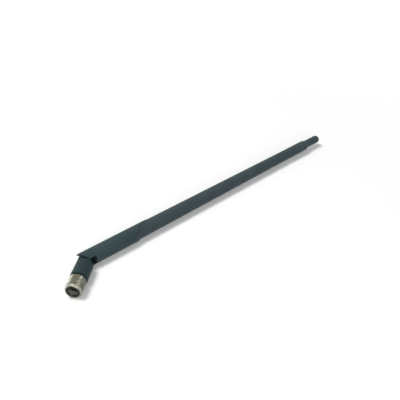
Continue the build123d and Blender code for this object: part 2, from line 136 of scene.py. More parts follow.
class Signal:
    """A node's output, on which Python arithmetic adds Math nodes."""

    __add__ = __radd__ = arithmetic("ADD")
    __sub__ = arithmetic("SUBTRACT")
    __mul__ = arithmetic("MULTIPLY")
    __truediv__ = arithmetic("DIVIDE")
    __mod__ = arithmetic("MODULO")
    __pow__ = arithmetic("POWER")
    floor = arithmetic("FLOOR")
    sin = arithmetic("SINE")
    cos = arithmetic("COSINE")
    smaller = arithmetic("MINIMUM")
    larger = arithmetic("MAXIMUM")

    def __init__(self, bench: "NodeBench", made: bpy.types.Node, key: str | int = 0) -> None:
        """Takes one of a node's outputs.

        Args:
            bench: adds the nodes beside it.
            made: the node.
            key: the output's number, identifier or name.
        """
        self.bench = bench
        self.made = made
        self.socket = pick(made.outputs, key)

    def other(self, key: str | int) -> "Signal":
        """Another output of the same node, by number, identifier or name."""
        return Signal(self.bench, self.made, key)

    def __rsub__(self, other: float) -> "Signal":
        """Difference from a number."""
        return self.bench.math("SUBTRACT", other, self)

    def ramp(self, low: float, high: float) -> "Signal":
        """Rises smoothly from 0 at low to 1 at high.

        Args:
            low: value where the result starts to rise.
            high: value where the result reaches 1.

        Returns:
            The smooth share.
        """
        made = self.bench.node(
            "ShaderNodeMapRange",
            {"interpolation_type": "SMOOTHSTEP"},
            {"Value": self, "From Min": low, "From Max": high},
        )
        return made.other("Result")


class NodeBench:
    """Adds nodes to one tree, for a surface or for geometry."""

    def __init__(self, tree: bpy.types.NodeTree) -> None:
        """Keeps the tree."""
        self.tree = tree

    def node(
        self,
        kind: str,
        settings: dict[str, object] | None = None,
        inputs: dict[str | int, object] | None = None,
    ) -> Signal:
        """Adds a node, sets it up and feeds its sockets.

        Args:
            kind: Blender's name of the node's type.
            settings: the node's own properties.
            inputs: values or signals by socket identifier, name or number.

        Returns:
            The node's first output.
        """
        made = self.tree.nodes.new(kind)
        for name, value in (settings or {}).items():
            setattr(made, name, value)
        for key, value in (inputs or {}).items():
            self._feed(pick(made.inputs, key), value)
        return Signal(self, made)

    def math(self, operation: str, *values: "Signal | float") -> Signal:
        """Adds a Math node and returns its result."""
        return self.node("ShaderNodeMath", {"operation": operation}, dict(enumerate(values)))

    def parts(self, vector: Signal) -> tuple[Signal, Signal, Signal]:
        """Splits a vector into its three numbers."""
        made = self.node("ShaderNodeSeparateXYZ", inputs={"Vector": vector})
        return made.other(0), made.other(1), made.other(2)

    def vector(self, x: Signal | float, y: Signal | float, z: Signal | float) -> Signal:
        """Joins three numbers into a vector."""
        return self.node("ShaderNodeCombineXYZ", inputs={0: x, 1: y, 2: z})

    def mix(self, share: Signal | float, low: Signal | Colour, high: Signal | Colour) -> Signal:
        """Mixes two colours.

        Args:
            share: how much of the second colour shows, from 0 to 1.
            low: the colour at 0.
            high: the colour at 1.

        Returns:
            The mixed colour.
        """
        made = self.node(
            "ShaderNodeMix",
            {"data_type": "RGBA"},
            {"Factor_Float": share, "A_Color": low, "B_Color": high},
        )
        return made.other("Result_Color")

    def place(self, turn: float = 0.0, stretch: Triple = (1.0, 1.0, 1.0)) -> Signal:
        """Object coordinates, turned about Z and stretched.

        Args:
            turn: angle about Z in radians.
            stretch: scale along the three turned axes.

        Returns:
            The coordinates.
        """
        coords = self.node("ShaderNodeTexCoord").other("Object")
        turned = self.node(
            "ShaderNodeMapping",
            {"vector_type": "POINT"},
            {"Vector": coords, "Rotation": (0.0, 0.0, turn)},
        )
        return self.node("ShaderNodeVectorMath", {"operation": "MULTIPLY"}, {0: turned, 1: stretch})

    def noise(self, where: Signal, scale: float, detail: float) -> Signal:
        """Fractal noise around one half."""
        made = self.node(
            "ShaderNodeTexNoise", inputs={"Vector": where, "Scale": scale, "Detail": detail}
        )
        return made.other("Fac")

    def bump(self, height: Signal, depth: float, strength: float) -> Signal:
        """Turns a height signal into a normal, with its depth in metres."""
        return self.node(
            "ShaderNodeBump",
            inputs={"Height": height, "Distance": depth, "Strength": strength},
        )

    def seen(self) -> Signal:
        """Tells the rays that are seen from those that light the object.

        Returns:
            One for rays from the camera, a mirror or glass, and nought for the rest.
        """
        path = self.node("ShaderNodeLightPath")
        mirrored = path.other("Is Glossy Ray").larger(path.other("Is Transmission Ray"))
        return path.other("Is Camera Ray").larger(mirrored)

    def principled(self, inputs: dict[str | int, object]) -> Signal:
        """Adds the main shader and returns it."""
        return self.node("ShaderNodeBsdfPrincipled", inputs=inputs)

    def _feed(self, socket: bpy.types.NodeSocket, value: object) -> None:
        """Links signals to a socket, or sets its value.

        Args:
            socket: the input to feed.
            value: a signal, a list of signals for a socket that takes many, or a plain value.
        """
        if isinstance(value, Signal):
            self.tree.links.new(value.socket, socket)
        elif isinstance(value, list):
            for each in value:
                self.tree.links.new(each.socket, socket)
        elif socket.type == "RGBA" and len(value) == 3:
            socket.default_value = (*value, 1.0)
        else:
            socket.default_value = value


@dataclass(frozen=True)
class Finish:
    """A surface finish: its name, its colour and how sharply it reflects."""

    name: str
    colour: Colour
    roughness: float = 0.5

    def material(self) -> bpy.types.Material:
        """Builds the finish's material at its first use.

        Returns:
            The material, the same one every time.
        """
        title = self.name + "_finish"
        ready = bpy.data.materials.get(title)
        if ready is not None:
            return ready
        made = bpy.data.materials.new(title)
        made.use_nodes = True
        made.node_tree.nodes.clear()
        bench = NodeBench(made.node_tree)
        bench.node("ShaderNodeOutputMaterial", inputs={"Surface": self.surface(bench)})
        return made

    def surface(self, bench: NodeBench) -> Signal:
        """Returns the finish's shader; each kind of finish has its own."""
        raise NotImplementedError(type(self).__name__)

    def shade(self, factor: float) -> Colour:
        """The finish's colour, darker or lighter by a factor."""
        return tuple(channel * factor for channel in self.colour)


@dataclass(frozen=True)
class MouldedPlastic(Finish):
    """Dark moulded plastic: fine spark-eroded grain, faint clouding and flow along one way."""

    flow_turn: float = 0.0
    flow_stretch: Triple = (900.0, 60.0, 900.0)
    cloud_scale: float = 90.0
    grain_scale: float = 7000.0
    touch_scale: float = 260.0
    grain_depth: float = 0.012 * MM
    specular: float = 0.10

    def surface(self, bench: NodeBench) -> Signal:
        """Builds the moulded plastic's shader.

        Args:
            bench: adds the nodes.

        Returns:
            The shader.
        """
        where = bench.place(self.flow_turn)
        clouds = bench.noise(where, self.cloud_scale, 3.0)
        flow = bench.noise(bench.place(self.flow_turn, self.flow_stretch), 1.0, 2.0)
        grain = bench.noise(where, self.grain_scale, 2.0)
        drift = bench.noise(where, self.touch_scale, 4.0)
        tone = clouds * 0.7 + flow * 0.3
        colour = bench.mix(tone.ramp(0.3, 0.7), self.shade(0.9), self.shade(1.1))
        rough = self.roughness + (drift - 0.5) * 0.22 + (grain - 0.5) * 0.12
        relief = grain * 0.75 + flow * 0.25
        return bench.principled(
            {
                "Base Color": colour,
                "Roughness": rough,
                "Specular IOR Level": self.specular,
                "Normal": bench.bump(relief, self.grain_depth, 0.6),
            }
        )


@dataclass(frozen=True)
class TurnedMetal(Finish):
    """Plated metal off a lathe or a drawing bench: fine lines along or across one way, and smudges."""

    grain_turn: float = 0.0
    grain: Triple = (300.0, 14000.0, 300.0)
    grain_depth: float = 0.002 * MM
    smudge_scale: float = 420.0
    spot_scale: float = 2600.0
    tarnish: Colour = (0.30, 0.28, 0.22)

    def surface(self, bench: NodeBench) -> Signal:
        """Builds the plated metal's shader.

        Args:
            bench: adds the nodes.

        Returns:
            The shader.
        """
        where = bench.place(self.grain_turn)
        lines = bench.noise(bench.place(self.grain_turn, self.grain), 1.0, 3.0)
        smudge = bench.noise(where, self.smudge_scale, 4.0)
        spots = bench.noise(where, self.spot_scale, 2.0)
        dull = (smudge * 0.65 + spots * 0.35).ramp(0.42, 0.78)
        return bench.principled(
            {
                "Base Color": bench.mix(dull * 0.45, self.colour, self.tarnish),
                "Metallic": 1.0,
                "Roughness": self.roughness + dull * 0.16 + (lines - 0.5) * 0.10,
                "Normal": bench.bump(lines, self.grain_depth, 0.7),
            }
        )


@dataclass(frozen=True)
class KnurledNickel(TurnedMetal):
    """Nickel plating with painted shade on its +x side, between the knurls, on the front face and in the
    mouth, and painted glints on the thread crests; a span is where a mask fades.
    """

    smudge_scale: float = 380.0
    knurl: Span = (4.79 * MM, 4.99 * MM)
    band: Span = (-1.3 * MM, -1.2 * MM)
    seat: Span = (4.73 * MM, 4.75 * MM)
    front: Span = (-2.98 * MM, -2.90 * MM)
    lip: Span = (4.15 * MM, 4.30 * MM)
    mouth: Span = (3.67 * MM, 3.77 * MM)
    thread: Span = (2.90 * MM, 3.00 * MM)
    # The next two values place the painted shade on the nut's +x side: the span of x where it rises, and
    # how far its edge wanders
    drift: Span = (-4.6 * MM, 0.8 * MM)
    side_shade_wobble: float = 3.0 * MM
    # Colour of the painted shade between the knurls
    valley_shade: Colour = (0.062, 0.062, 0.030)

    def surface(self, bench: NodeBench) -> Signal:
        """Builds the knurled nickel's shader.

        Args:
            bench: adds the nodes.

        Returns:
            The shader.
        """
        where = bench.place()
        x, y, z = bench.parts(where)
        radius = (x * x + z * z) ** 0.5
        valley = (1.0 - radius.ramp(*self.knurl)) * y.ramp(*self.band) * radius.ramp(*self.seat)
        face_shade = (1.0 - y.ramp(*self.front)) * (1.0 - radius.ramp(*self.lip))
        inside = 1.0 - radius.ramp(*self.mouth)
        ridge = 1.0 - radius.ramp(*self.thread)
        lines = bench.noise(bench.place(self.grain_turn, self.grain), 1.0, 3.0)
        smudge = bench.noise(where, self.smudge_scale, 4.0)
        dull = smudge.ramp(0.35, 0.75)
        # Painted shade: the plating darkens toward +x, the nut's shaded side
        side_shade = (x + (smudge - 0.5) * self.side_shade_wobble).ramp(*self.drift)
        plated = bench.mix(dull * 0.35 + side_shade * 0.35, self.colour, self.tarnish)
        # Painted shade between the knurls, deeper toward +x
        knurled = bench.mix(valley * (side_shade * 0.4 + 0.5), plated, self.valley_shade)
        # Painted shade on the front face around the mouth
        face_shaded = bench.mix(face_shade * 0.9, knurled, self.shade(0.14))
        # Painted shade in the bore behind the mouth
        bore_shaded = bench.mix(inside * 0.96, face_shaded, self.shade(0.03))
        return bench.principled(
            {
                # Painted glints: the thread crests in the bore keep part of the plating's colour
                "Base Color": bench.mix(inside * ridge * 0.45, bore_shaded, self.colour),
                "Metallic": 1.0,
                "Roughness": self.roughness + dull * 0.14 + valley * 0.2,
                "Normal": bench.bump(lines, self.grain_depth, 0.6),
            }
        )


@dataclass(frozen=True)
class SolderBlob(Finish):
    """Bright solder with a slightly frosted, rippled skin."""

    ripple_scale: float = 1500.0
    frost_scale: float = 9000.0
    ripple_depth: float = 0.03 * MM

    def surface(self, bench: NodeBench) -> Signal:
        """Builds the solder's shader.

        Args:
            bench: adds the nodes.

        Returns:
            The shader.
        """
        where = bench.place()
        ripple = bench.noise(where, self.ripple_scale, 2.0)
        frost = bench.noise(where, self.frost_scale, 3.0)
        return bench.principled(
            {
                "Base Color": bench.mix(frost.ramp(0.4, 0.7), self.colour, self.shade(0.75)),
                "Metallic": 1.0,
                "Roughness": self.roughness + frost * 0.2,
                "Normal": bench.bump(ripple * 0.8 + frost * 0.2, self.ripple_depth, 0.8),
            }
        )


@dataclass(frozen=True)
class WaxyInsulator(Finish):
    """White fluoroplastic or nylon: soft, slightly see-through, with fine turning lines."""

    see_through: float = 0.25
    scatter: float = 0.4 * MM
    line_stretch: Triple = (400.0, 9000.0, 400.0)
    line_depth: float = 0.004 * MM
    cloud_scale: float = 500.0

    def surface(self, bench: NodeBench) -> Signal:
        """Builds the insulator's shader.

        Args:
            bench: adds the nodes.

        Returns:
            The shader.
        """
        where = bench.place()
        lines = bench.noise(bench.place(0.0, self.line_stretch), 1.0, 2.0)
        cloud = bench.noise(where, self.cloud_scale, 3.0)
        return bench.principled(
            {
                "Base Color": bench.mix(cloud.ramp(0.3, 0.75), self.colour, self.shade(0.88)),
                "Roughness": self.roughness + (lines - 0.5) * 0.14,
                "Subsurface Weight": self.see_through,
                "Subsurface Radius": (self.scatter,) * 3,
                "Subsurface Scale": 1.0,
                "Normal": bench.bump(lines, self.line_depth, 0.5),
            }
        )


@dataclass(frozen=True)
class SoftBlack(Finish):
    """Rubber, shrink tube or cable jacket: dark, with a skin of fine lumps and lines."""

    lump_scale: float = 2500.0
    lump_depth: float = 0.01 * MM
    line_turn: float = 0.0
    line_stretch: Triple = (5000.0, 200.0, 5000.0)
    dust_scale: float = 700.0

    def surface(self, bench: NodeBench) -> Signal:
        """Builds the soft black shader.

        Args:
            bench: adds the nodes.

        Returns:
            The shader.
        """
        where = bench.place(self.line_turn)
        lumps = bench.noise(where, self.lump_scale, 3.0)
        lines = bench.noise(bench.place(self.line_turn, self.line_stretch), 1.0, 2.0)
        dust = bench.noise(where, self.dust_scale, 5.0).ramp(0.5, 0.8)
        return bench.principled(
            {
                "Base Color": bench.mix(dust * 0.5, self.colour, self.shade(2.2)),
                "Roughness": self.roughness + dust * 0.12 + (lumps - 0.5) * 0.1,
                "Normal": bench.bump(lumps * 0.6 + lines * 0.4, self.lump_depth, 0.7),
            }
        )


@dataclass(frozen=True)
class CellFoam(Finish):
    """Closed-cell foam: round pits of mixed size, with painted shade in the pits."""

    cell_scale: float = 2400.0
    pit_depth: float = 0.12 * MM

    def surface(self, bench: NodeBench) -> Signal:
        """Builds the foam's shader.

        Args:
            bench: adds the nodes.

        Returns:
            The shader.
        """
        where = bench.place()
        cells = bench.node(
            "ShaderNodeTexVoronoi",
            {"feature": "F1"},
            {"Vector": where, "Scale": self.cell_scale},
        ).other("Distance")
        # Painted shade: the colour darkens into each pit
        pits = cells.ramp(0.05, 0.6)
        return bench.principled(
            {
                "Base Color": bench.mix(pits, self.shade(0.55), self.shade(1.2)),
                "Roughness": self.roughness,
                "Normal": bench.bump(pits, self.pit_depth, 0.9),
            }
        )


@dataclass(frozen=True)
class FibreCard(Finish):
    """Resin-bonded card with its woven glass showing through."""

    weave: float = 4200.0
    weave_depth: float = 0.01 * MM
    turn: float = 0.0

    def surface(self, bench: NodeBench) -> Signal:
        """Builds the card's shader.

        Args:
            bench: adds the nodes.

        Returns:
            The shader.
        """
        x, y, _ = bench.parts(bench.place(self.turn))
        warp = (x * self.weave).sin() * 0.5 + 0.5
        weft = (y * self.weave).sin() * 0.5 + 0.5
        cloth = warp * (1.0 - weft) + weft * (1.0 - warp)
        return bench.principled(
            {
                "Base Color": bench.mix(cloth, self.shade(0.82), self.shade(1.08)),
                "Roughness": self.roughness + cloth * 0.08,
                "Coat Weight": 0.3 + cloth * 0.1,
                "Coat Roughness": 0.15,
                "Normal": bench.bump(cloth, self.weave_depth, 0.5),
            }
        )


@dataclass(frozen=True)
class StudioFloor(Finish):
    """Pale floor that reads as white to the camera and keeps the object's shadow."""

    roughness: float = 1.0
    glow: float = 0.15
    far_glow: float = 0.7
    near: float = 0.25
    far: float = 0.75

    def surface(self, bench: NodeBench) -> Signal:
        """Builds the floor's shader, whose own light rises away from the object.

        Args:
            bench: adds the nodes.

        Returns:
            The shader.
        """
        x, y, _ = bench.parts(bench.place())
        share = (x * x + y * y) ** 0.5
        cloth = bench.principled(
            {"Base Color": self.colour, "Roughness": self.roughness, "Specular IOR Level": 0.0}
        )
        tint = bench.mix(share.ramp(self.near, self.far), (self.glow,) * 3, (self.far_glow,) * 3)
        lamp = bench.node("ShaderNodeEmission", inputs={"Color": tint, "Strength": bench.seen()})
        return bench.node("ShaderNodeAddShader", inputs={0: cloth, 1: lamp})


@dataclass(frozen=True)
class WhipFrame:
    """Where the whip lies: its tilt axis and its lean from the plug's axis, read from the tilt joint."""

    pivot: Vector
    lean: float

    @classmethod
    def from_joint(cls) -> "WhipFrame":
        """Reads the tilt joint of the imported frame."""
        joint = next(j for j in frame["joints"] if j["name"] == "tilt")
        return cls(Vector(joint["pos_m"]), math.radians(-joint["range_deg"][0]))

    @property
    def along(self) -> Vector:
        """Unit vector from the tilt axis to the tip."""
        return Vector((math.sin(self.lean), math.cos(self.lean), 0.0))

    @property
    def matrix(self) -> Matrix:
        """Takes a point given across, along and above the whip to the row frame."""
        turn = Matrix.Rotation(-self.lean, 4, "Z")
        return Matrix.Translation(self.pivot) @ turn


WHIP = WhipFrame.from_joint()


class Finishes:
    """All finishes of the antenna, by what they are used on."""

    sheath = MouldedPlastic("sheath_plastic", (0.049, 0.069, 0.077), 0.5, flow_turn=WHIP.lean)
    housing = MouldedPlastic("housing_plastic", (0.041, 0.067, 0.074), 0.5, flow_turn=WHIP.lean)
    knuckle = MouldedPlastic("knuckle_plastic", (0.024, 0.043, 0.047), 0.5)
    # The nut's tarnish colour also serves as the painted shade on its +x side
    nut = KnurledNickel("nut_metal", (0.50, 0.495, 0.44), 0.28, tarnish=(0.15, 0.145, 0.090))
    barrel = TurnedMetal("barrel_metal", (0.50, 0.49, 0.44), 0.26, tarnish=(0.20, 0.19, 0.15))
    gold = TurnedMetal("gold_plate", (0.58, 0.47, 0.26), 0.24, tarnish=(0.30, 0.22, 0.10))
    steel = TurnedMetal("spring_steel", (0.60, 0.60, 0.58), 0.30)
    ferrule = TurnedMetal("ferrule_metal", (0.70, 0.68, 0.62), 0.28)
    braid = TurnedMetal("braid_metal", (0.68, 0.66, 0.62), 0.32)
    drawn_along_whip = {"grain_turn": WHIP.lean, "grain": (9000.0, 200.0, 9000.0)}
    brass = TurnedMetal(
        "sleeve_brass", (0.78, 0.60, 0.30), 0.24, **drawn_along_whip, tarnish=(0.36, 0.22, 0.10)
    )
    copper = TurnedMetal(
        "wire_metal", (0.80, 0.42, 0.24), 0.26, **drawn_along_whip, tarnish=(0.34, 0.15, 0.08)
    )
    solder = SolderBlob("solder", (0.72, 0.72, 0.72), 0.18)
    insulator = WaxyInsulator("insulator_plastic", (0.86, 0.85, 0.80), 0.38)
    # The plug's insulator is made black as painted shade for the dark hollow in its mouth
    contact_seat = MouldedPlastic("insulator_black", (0.020, 0.020, 0.020), 0.42)
    gasket = SoftBlack("gasket_rubber", (0.020, 0.019, 0.018), 0.62)
    jacket = SoftBlack("lead_jacket", (0.012, 0.012, 0.012), 0.34, line_turn=WHIP.lean)
    shrink = SoftBlack("shrink_plastic", (0.018, 0.018, 0.019), 0.46, line_turn=WHIP.lean)
    foam = CellFoam("foam", (0.10, 0.10, 0.11), 0.9)
    card = FibreCard("phasing_card_plastic", (0.52, 0.55, 0.34), 0.4, turn=WHIP.lean)


@dataclass(frozen=True)
class Corner:
    """A corner of an outline: distance from the axis, place along it and rounding, in millimetres."""

    radius: float
    along: float
    ease: float = 0.0


def eased(corners: Sequence[Corner], steps: int = 4) -> list[Span]:
    """Rounds the corners of a closed outline.

    Args:
        corners: the outline's corners in order.
        steps: arc points for each rounded corner.

    Returns:
        Points as distance from the axis and place along it, in metres.
    """
    points: list[Span] = []
    for index, corner in enumerate(corners):
        here = Vector((corner.radius, corner.along))
        if corner.ease <= 0.0:
            points.append((here.x * MM, here.y * MM))
            continue
        back, on = corners[index - 1], corners[(index + 1) % len(corners)]
        to_back = Vector((back.radius, back.along)) - here
        to_next = Vector((on.radius, on.along)) - here
        reach = min(corner.ease, to_back.length * EASE_SHARE, to_next.length * EASE_SHARE)
        start = here + to_back.normalized() * reach
        end = here + to_next.normalized() * reach
        for step in range(steps + 1):
            share = step / steps
            bow = (1 - share) ** 2 * start + 2 * share * (1 - share) * here + share**2 * end
            points.append((bow.x * MM, bow.y * MM))
    return points


def shaded(mesh: bpy.types.Mesh, angle: float) -> None:
    """Smooths a mesh's shading, apart from edges sharper than an angle in degrees."""
    mesh.shade_smooth()
    mesh.set_sharp_from_angle(angle=math.radians(angle))


def turned(name: str, outline: Sequence[Span], finish: Finish, segments: int) -> bpy.types.Object:
    """Turns a closed outline about the plug's axis into a solid ring.

    Args:
        name: the piece's name.
        outline: points as distance from the axis and place along it, in metres.
        finish: the piece's finish.
        segments: how many flats go round.

    Returns:
        The piece.
    """
    work = bmesh.new()
    rings = []
    for step in range(segments):
        angle = 2 * math.pi * step / segments
        rings.append(
            [work.verts.new((r * math.cos(angle), y, r * math.sin(angle))) for r, y in outline]
        )
    count = len(outline)
    for step in range(segments):
        here, there = rings[step], rings[(step + 1) % segments]
        for k in range(count):
            n = (k + 1) % count
            work.faces.new((here[k], here[n], there[n], there[k]))
    if work.calc_volume(signed=True) < 0:
        bmesh.ops.reverse_faces(work, faces=work.faces)
    mesh = bpy.data.meshes.new(name)
    work.to_mesh(mesh)
    work.free()
    shaded(mesh, CREASE)
    return piece_of(name, mesh, finish)


def piece_of(name: str, mesh: bpy.types.Mesh, finish: Finish) -> bpy.types.Object:
    """Puts a mesh in the scene with a finish.

    Args:
        name: the piece's name.
        mesh: its shape in the row frame.
        finish: the piece's finish.

    Returns:
        The piece.
    """
    mesh.materials.clear()
    mesh.materials.append(finish.material())
    made = bpy.data.objects.new(name, mesh)
    bpy.context.scene.collection.objects.link(made)
    return made


def plain_mesh(holder: bpy.types.Object, name: str) -> bpy.types.Mesh:
    """Takes the evaluated shape of an object and removes the object.

    Args:
        holder: an object in the scene whose modifier or curve makes the shape.
        name: the mesh's name.

    Returns:
        The shape as a plain mesh.
    """
    bpy.context.view_layer.update()
    graph = bpy.context.evaluated_depsgraph_get()
    mesh = bpy.data.meshes.new_from_object(holder.evaluated_get(graph), depsgraph=graph)
    mesh.name = name
    bpy.data.objects.remove(holder)
    return mesh


class Recipe:
    """A Geometry Nodes tree with named inputs, which makes one mesh."""

    kinds: ClassVar[dict[type, str]] = {
        float: "NodeSocketFloat",
        int: "NodeSocketInt",
        bool: "NodeSocketBool",
    }

    def __init__(self, name: str) -> None:
        """Starts an empty tree.

        Args:
            name: the tree's name.
        """
        self.name = name
        self.tree = bpy.data.node_groups.new(name, "GeometryNodeTree")
        self.tree.interface.new_socket("Mesh", in_out="OUTPUT", socket_type="NodeSocketGeometry")
        self.entry = self.tree.nodes.new("NodeGroupInput")
        self.bench = NodeBench(self.tree)
        self.values: dict[str, float | int | bool] = {}

    def size(self, name: str, value: float | int | bool) -> Signal:
        """Adds a named input, whose kind follows from its value.

        Args:
            name: the input's name.
            value: a length in metres or a plain number, a count, or a choice of yes or no.

        Returns:
            The input as a signal.
        """
        kind = self.kinds[type(value)]
        item = self.tree.interface.new_socket(name, in_out="INPUT", socket_type=kind)
        item.default_value = value
        self.values[item.identifier] = value
        return Signal(self.bench, self.entry, item.identifier)

    def finish(self, geometry: Signal, finish: Finish) -> None:
        """Ends the tree: instances are made real and take the finish.

        Args:
            geometry: what the tree has made.
            finish: the finish of all of it.
        """
        real = self.bench.node("GeometryNodeRealizeInstances", inputs={"Geometry": geometry})
        coated = self.bench.node(
            "GeometryNodeSetMaterial",
            inputs={"Geometry": real, "Material": finish.material()},
        )
        self.bench.node("NodeGroupOutput", inputs={0: coated})

    def make(self, name: str, place: Matrix, finish: Finish, sharp: float) -> bpy.types.Object:
        """Runs the tree and returns its result as a plain piece.

        Args:
            name: the piece's name.
            place: where the result goes in the row frame.
            finish: the piece's finish.
            sharp: edges sharper than this angle in degrees stay crisp.

        Returns:
            The piece, with no modifier left on it.
        """
        holder = bpy.data.objects.new(name + "_recipe", bpy.data.meshes.new(name + "_empty"))
        bpy.context.scene.collection.objects.link(holder)
        modifier = holder.modifiers.new(self.name, "NODES")
        modifier.node_group = self.tree
        for identifier, value in self.values.items():
            modifier[identifier] = value
        mesh = plain_mesh(holder, name)
        mesh.transform(place)
        shaded(mesh, sharp)
        return piece_of(name, mesh, finish)


@dataclass
class Assembly:
    """Part of the antenna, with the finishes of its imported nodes."""

    finishes: ClassVar[dict[str, Finish]] = {}

    def build(self) -> list[bpy.types.Object]:
        """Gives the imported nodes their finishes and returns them."""
        for node, finish in self.finishes.items():
            frame["nodes"][node].material_slots[0].material = finish.material()
        return [frame["nodes"][node] for node in self.finishes]


@dataclass
class CouplingNut:
    """Knurled nut that draws the plug onto its socket; sizes in millimetres."""

    mouth: float = -3.0
    back: float = 7.0
    mouth_flare: float = 0.5
    face_bevel: float = 0.55
    back_bevel: float = 0.65
    crest_radius: float = 4.99
    band_radius: float = 4.78
    band_bevel: float = 0.1
    collar_radius: float = 4.8
    collar_end: float = -1.5
    neck_depth: float = 0.18
    neck_slope: float = 0.1
    neck_margin: float = 0.05
    band_start: float = -1.2
    band_end: float = 6.4
    thread_radius: float = 3.175
    thread_crest: float = 2.87
    thread_pitch: float = 0.7056
    thread_turns: float = 6.9
    thread_setback: float = 0.55
    thread_fade: float = 14.0
    thread_tail: float = 0.02
    thread_steps: int = 48
    thread_sides: int = 4
    thread_crease: float = 20.0
    thread_end: float = 2.6
    relief_start: float = 2.75
    relief_end: float = 3.3
    relief_depth: float = 0.15
    bore_start: float = 3.4
    bore_radius: float = 3.16
    ring_room: float = 3.7
    ring_room_start: float = 4.9
    ring_room_end: float = 5.65
    face_ease: float = 0.14
    bevel_ease: float = 0.16
    lip_ease: float = 0.06
    neck_ease: float = 0.04
    band_ease: float = 0.03
    inner_ease: float = 0.05
    back_ease: float = 0.12
    bore_ease: float = 0.08
    segments: int = 128
    knurls_round: int = 44
    knurl_rows: int = 20
    knurl_margin: float = 0.2
    knurl_sink: float = 0.01
    knurl_tip: float = 0.16
    knurl_crease: float = 5.0
    hand: Hand = Hand.RIGHT

    def build(self) -> list[bpy.types.Object]:
        """Makes the nut's body, knurls and thread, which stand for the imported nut.

        Returns:
            The three pieces.
        """
        body = self._body()
        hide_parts("coupling_nut")
        pieces = [body, self._knurls(), self._thread()]
        for piece in pieces:
            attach(piece, Body.COUPLING.value)
        return pieces

    def _body(self) -> bpy.types.Object:
        """Turns the nut's body: flared mouth, smooth collar, knurl seat, bevelled back and bores.

        Returns:
            The body.
        """
        neck_radius = self.collar_radius - self.neck_depth
        relief_radius = self.thread_radius + self.relief_depth
        outline = [
            Corner(self.thread_radius, self.mouth + self.mouth_flare),
            Corner(self.thread_radius + self.mouth_flare, self.mouth, self.lip_ease),
            Corner(self.collar_radius - self.face_bevel, self.mouth, self.face_ease),
            Corner(self.collar_radius, self.mouth + self.face_bevel, self.bevel_ease),
            Corner(self.collar_radius, self.collar_end, self.lip_ease),
            Corner(neck_radius, self.collar_end + self.neck_slope, self.neck_ease),
            Corner(neck_radius, self.band_start - self.neck_margin, self.neck_ease),
            Corner(self.band_radius, self.band_start, self.band_ease),
            Corner(self.band_radius, self.band_end, self.band_ease),
            Corner(
                self.band_radius - self.band_bevel, self.band_end + self.band_bevel, self.inner_ease
            ),
            Corner(self.crest_radius - self.back_bevel, self.back, self.back_ease),
            Corner(self.bore_radius, self.back, self.bore_ease),
            Corner(self.bore_radius, self.ring_room_end),
            Corner(self.ring_room, self.ring_room_end),
            Corner(self.ring_room, self.ring_room_start),
            Corner(self.bore_radius, self.ring_room_start),
            Corner(self.bore_radius, self.bore_start, self.inner_ease),
            Corner(relief_radius, self.relief_end, self.inner_ease),
            Corner(relief_radius, self.relief_start, self.inner_ease),
            Corner(self.thread_radius, self.thread_end, self.inner_ease),
        ]
        return turned("nut_body", eased(outline), Finishes.nut, self.segments)

    def _knurls(self) -> bpy.types.Object:
        """Sets rows of small pyramids round the band, each row half a step on from the last.

        Returns:
            The knurls as one piece.
        """
        recipe = Recipe("nut_knurling")
        bench = recipe.bench
        rows_length = self.band_end - self.band_start - 2 * self.knurl_margin
        stud_height = self.crest_radius - self.band_radius + self.knurl_sink
        radius = recipe.size("Seat radius", (self.band_radius - self.knurl_sink) * MM)
        start = recipe.size("First row", (self.band_start + self.knurl_margin) * MM)
        pitch = recipe.size("Row pitch", rows_length / (self.knurl_rows - 1) * MM)
        height = recipe.size("Height", stud_height * MM)
        around = recipe.size("Round", self.knurls_round)
        rows = recipe.size("Rows", self.knurl_rows)
        index = bench.node("GeometryNodeInputIndex")
        # The small addend keeps a whole quotient from rounding down
        row = (index / around + 1e-4).floor()
        column = index - row * around
        angle = (column + (row % 2.0) * 0.5) * (2 * math.pi) / around
        seat = bench.vector(radius * angle.sin(), start + row * pitch, radius * angle.cos())
        points = bench.node("GeometryNodePoints", inputs={"Count": around * rows, "Position": seat})
        step = radius * (2 * math.pi) / around
        stud = bench.node(
            "GeometryNodeMeshCone",
            {"fill_type": "NGON"},
            {
                "Vertices": 4,
                "Side Segments": 1,
                "Fill Segments": 1,
                "Radius Top": self.knurl_tip,
                "Radius Bottom": 1.0,
                "Depth": 1.0,
            },
        )
        facing = bench.node(
            "FunctionNodeEulerToRotation", inputs={"Euler": bench.vector(0.0, angle, 0.0)}
        )
        studs = bench.node(
            "GeometryNodeInstanceOnPoints",
            inputs={
                "Points": points,
                "Instance": stud.other("Mesh"),
                "Rotation": facing,
                "Scale": bench.vector(step * 0.5, pitch, height),
            },
        )
        recipe.finish(studs, Finishes.nut)
        return recipe.make("nut_knurls", Matrix.Identity(4), Finishes.nut, self.knurl_crease)

